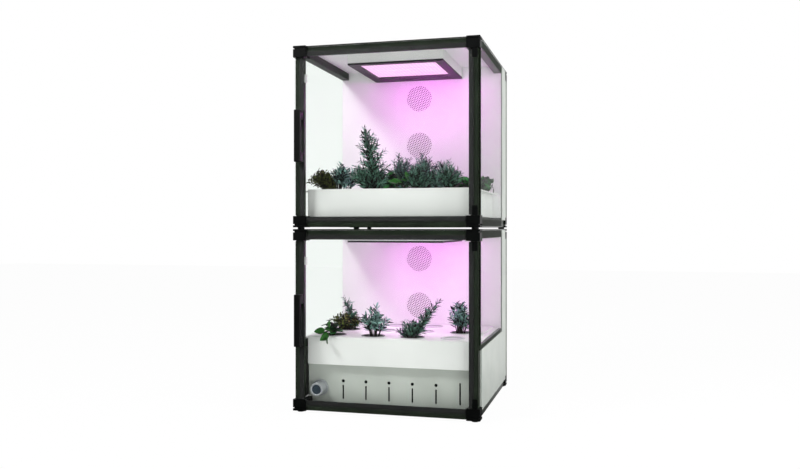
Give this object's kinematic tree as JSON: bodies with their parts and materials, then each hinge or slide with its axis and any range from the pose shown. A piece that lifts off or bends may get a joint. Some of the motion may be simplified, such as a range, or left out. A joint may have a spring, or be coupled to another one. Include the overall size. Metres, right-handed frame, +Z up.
{
  "type": "smart indoor garden",
  "caption": "Two stacked indoor growing cabinets with glass doors, grow lamps, planting trays and a dosing base.",
  "frame": {"origin": "middle of the object's box on the floor, under the feet", "axes": "+Z up, the doors and the control panel face -Y, +X is to the right seen from the front"},
  "size_m": [0.6, 0.648, 1.165],
  "materials": {
    "bottle_plastic": "translucent white",
    "catch_white": "moulded white",
    "clear_glass": "clear toughened glass",
    "corner_block": "moulded black nylon",
    "cup_grey": "moulded grey",
    "fan_black": "moulded black",
    "foliage": "leaves and stems",
    "frame_tube": "satin dark green-black powder coat on aluminium tube",
    "grow_light": "opal diffuser over pink and white grow diodes",
    "handle_black": "satin black",
    "lamp_bezel": "satin dark grey",
    "lamp_white": "moulded white, satin",
    "panel_grey": "pale grey-green plastic, satin",
    "pipe_grey": "extruded grey",
    "seal_rubber": "matt black",
    "side_panel": "pale grey-green plastic sheet, satin",
    "sight_window": "dark tinted acrylic",
    "status_light": "dark lens",
    "steel": "brushed",
    "tank_plastic": "moulded pale grey",
    "top_panel": "dark plastic sheet, satin, white underneath",
    "tray_white": "satin white moulded plastic",
    "white_wall": "white plastic sheet, satin"
  },
  "bodies": {
    "cabinet": {"circulation_pump": "fan_black", "control_panel": "panel_grey", "controller_box": "panel_grey", "door_catches": "catch_white", "dosing_pumps": "fan_black", "fan_frames": "fan_black", "feet": "seal_rubber", "floors": "white_wall", "inlet_socket": "fan_black", "level_windows": "sight_window", "lower_back_wall": "white_wall", "lower_corner_blocks": "corner_block", "lower_depth_rails": "frame_tube", "lower_door_seal": "seal_rubber", "lower_lamp_bezel": "lamp_bezel", "lower_lamp_housing": "lamp_white", "lower_led_panel": "grow_light", "lower_posts": "frame_tube", "lower_side_glass": "clear_glass", "lower_side_panels": "side_panel", "lower_tray": "tray_white", "lower_width_rails": "frame_tube", "nutrient_bottles": "bottle_plastic", "power_supply": "steel", "rear_covers": "side_panel", "status_lights": "status_light", "supply_pipe": "pipe_grey", "top_panels": "top_panel", "upper_back_wall": "white_wall", "upper_corner_blocks": "corner_block", "upper_depth_rails": "frame_tube", "upper_door_seal": "seal_rubber", "upper_lamp_bezel": "lamp_bezel", "upper_lamp_housing": "lamp_white", "upper_led_panel": "grow_light", "upper_posts": "frame_tube", "upper_side_glass": "clear_glass", "upper_side_panels": "side_panel", "upper_tray": "tray_white", "upper_width_rails": "frame_tube", "valve_body": "steel", "water_tank": "tank_plastic"},
    "lower_door": {"lower_door_glass": "clear_glass", "lower_hinge_shoes": "corner_block", "lower_door_handle": "handle_black"},
    "lower_deck_set": {"lower_deck": "tray_white", "lower_net_cups": "cup_grey", "lower_plants": "foliage", "site_caps": "cup_grey"},
    "lower_fan_low_rotor": {"lower_fan_low": "fan_black"},
    "lower_fan_high_rotor": {"lower_fan_high": "fan_black"},
    "upper_door": {"upper_door_glass": "clear_glass", "upper_hinge_shoes": "corner_block", "upper_door_handle": "handle_black"},
    "upper_deck_set": {"upper_deck": "tray_white", "upper_net_cups": "cup_grey", "upper_plants": "foliage"},
    "upper_fan_low_rotor": {"upper_fan_low": "fan_black"},
    "upper_fan_high_rotor": {"upper_fan_high": "fan_black"},
    "drain_knob": {"valve_knob": "steel"}
  },
  "joints": [
    {"name": "lower_door_hinge", "type": "hinge", "parent": "cabinet", "child": "lower_door", "pos_m": [0.287, -0.2915, 0.294], "axis": [0, 0, 1], "range_deg": [0, 110]},
    {"name": "lower_deck_lift", "type": "slide", "parent": "cabinet", "child": "lower_deck_set", "axis": [0, 0, 1], "range_m": [0, 0.06]},
    {"name": "lower_fan_low_spin", "type": "hinge", "parent": "cabinet", "child": "lower_fan_low_rotor", "pos_m": [0, 0.1945, 0.3045], "axis": [0, 1, 0], "continuous": true},
    {"name": "lower_fan_high_spin", "type": "hinge", "parent": "cabinet", "child": "lower_fan_high_rotor", "pos_m": [0, 0.1945, 0.4745], "axis": [0, 1, 0], "continuous": true},
    {"name": "upper_door_hinge", "type": "hinge", "parent": "cabinet", "child": "upper_door", "pos_m": [0.287, -0.2915, 0.8765], "axis": [0, 0, 1], "range_deg": [0, 110]},
    {"name": "upper_deck_lift", "type": "slide", "parent": "cabinet", "child": "upper_deck_set", "axis": [0, 0, 1], "range_m": [0, 0.06]},
    {"name": "upper_fan_low_spin", "type": "hinge", "parent": "cabinet", "child": "upper_fan_low_rotor", "pos_m": [0, 0.1945, 0.887], "axis": [0, 1, 0], "continuous": true},
    {"name": "upper_fan_high_spin", "type": "hinge", "parent": "cabinet", "child": "upper_fan_high_rotor", "pos_m": [0, 0.1945, 1.057], "axis": [0, 1, 0], "continuous": true},
    {"name": "drain_knob_turn", "type": "hinge", "parent": "cabinet", "child": "drain_knob", "pos_m": [-0.228, -0.253, 0.072], "axis": [0, 1, 0], "range_deg": [0, 90]}
  ]
}
